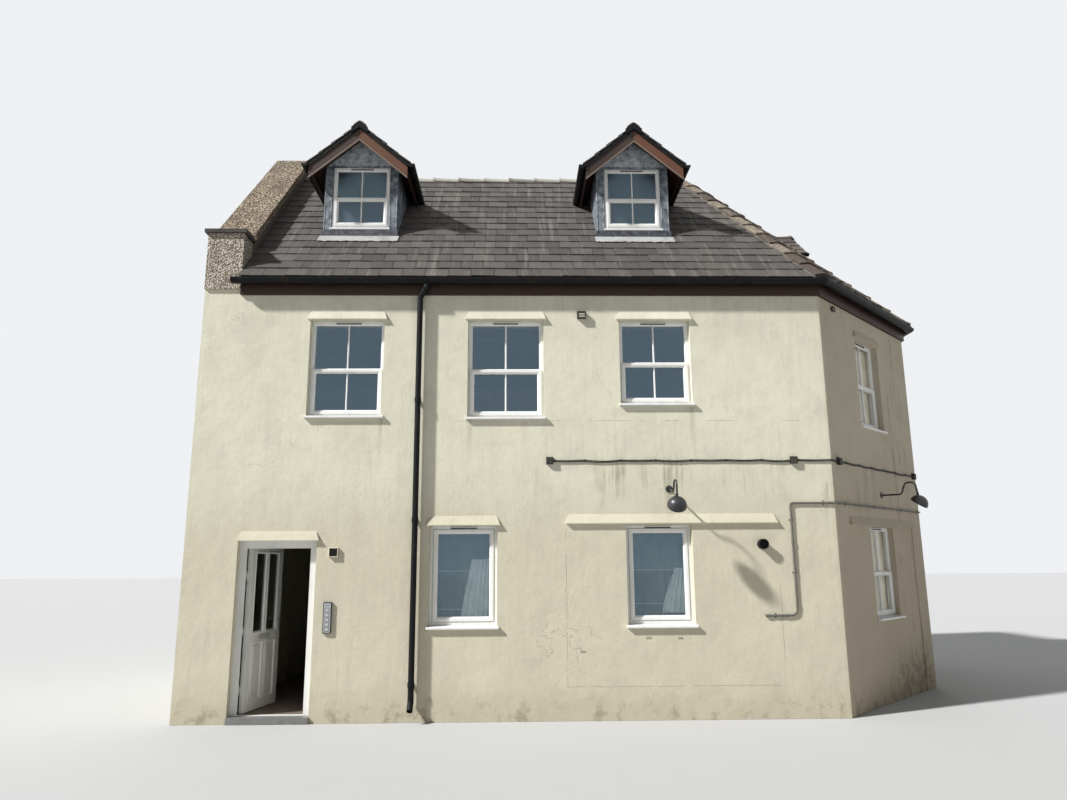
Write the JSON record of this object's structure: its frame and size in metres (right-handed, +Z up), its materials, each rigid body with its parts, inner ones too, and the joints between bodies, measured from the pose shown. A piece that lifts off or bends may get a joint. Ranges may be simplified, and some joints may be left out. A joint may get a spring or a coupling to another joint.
{
  "type": "corner shop building",
  "caption": "Rendered corner building with a splayed corner, tiled hipped roof, dormers and a hinged front door.",
  "frame": {"origin": "on the ground at the left end of the front wall's outer face", "axes": "+X along the front wall to the splayed corner, +Y from the front into the building, +Z up"},
  "size_m": [10.4513, 7.5581, 8.62],
  "materials": {
    "render": "matte, weathered cream render",
    "roughcast": "pebbled roughcast",
    "cap_stone": "weathered stone",
    "floor": "matte boards and screed",
    "tile": "weathered plain tiles",
    "ridge": "mortar-bedded ridge tiles",
    "hip": "weathered hip tiles",
    "lead": "lead-grey cladding",
    "apron": "pale flashing",
    "brown_paint": "brown gloss paint, worn",
    "black_plastic": "satin black",
    "white_frame": "white, satin",
    "glass": "clear",
    "furniture": "polished",
    "lamp": "black enamel",
    "cable": "dull",
    "conduit": "galvanised, dull",
    "steel": "brushed",
    "vent": "dull",
    "net": "thin net"
  },
  "bodies": {
    "building": {"front_wall_left": "render", "front_wall_over_door": "render", "front_wall_ground": "render", "front_wall_upper": "render", "splay_wall": "render", "side_wall": "render", "rear_gable_wall": "render", "wing_wall": "render", "rear_wall": "render", "party_wall": "render", "parapet_coping": "roughcast", "parapet_pier": "roughcast", "pier_cap": "cap_stone", "ground_floor": "floor", "first_floor": "floor", "attic_floor": "floor", "front_slope": "tile", "splay_slope": "tile", "side_slope": "tile", "wing_slope": "tile", "rear_slope": "tile", "dormer_roofs": "tile", "ridge_tiles": "ridge", "hip_tiles": "hip", "fascia_boards": "brown_paint", "barge_boards": "brown_paint", "gutters": "black_plastic", "downpipe": "black_plastic", "dormer_walls": "lead", "dormer_aprons": "apron", "front_windows": "white_frame", "splay_windows": "white_frame", "side_windows": "white_frame", "rear_windows": "white_frame", "dormer_windows": "white_frame", "window_sills": "white_frame", "door_frame": "white_frame", "front_glass": "glass", "splay_glass": "glass", "side_glass": "glass", "rear_glass": "glass", "dormer_glass": "glass", "wall_lamps": "lamp", "surface_cable": "cable", "conduit": "conduit", "entry_panel": "steel", "wall_vents": "vent", "net_curtains": "net"},
    "front_door": {"door_leaf": "white_frame", "door_glass": "glass", "door_furniture": "furniture"}
  },
  "joints": [
    {"name": "front_door_hinge", "type": "hinge", "parent": "building", "child": "front_door", "pos_m": [0.715, 0.175, 1.05], "axis": [0, 0, 1], "range_deg": [-79, 11]}
  ]
}
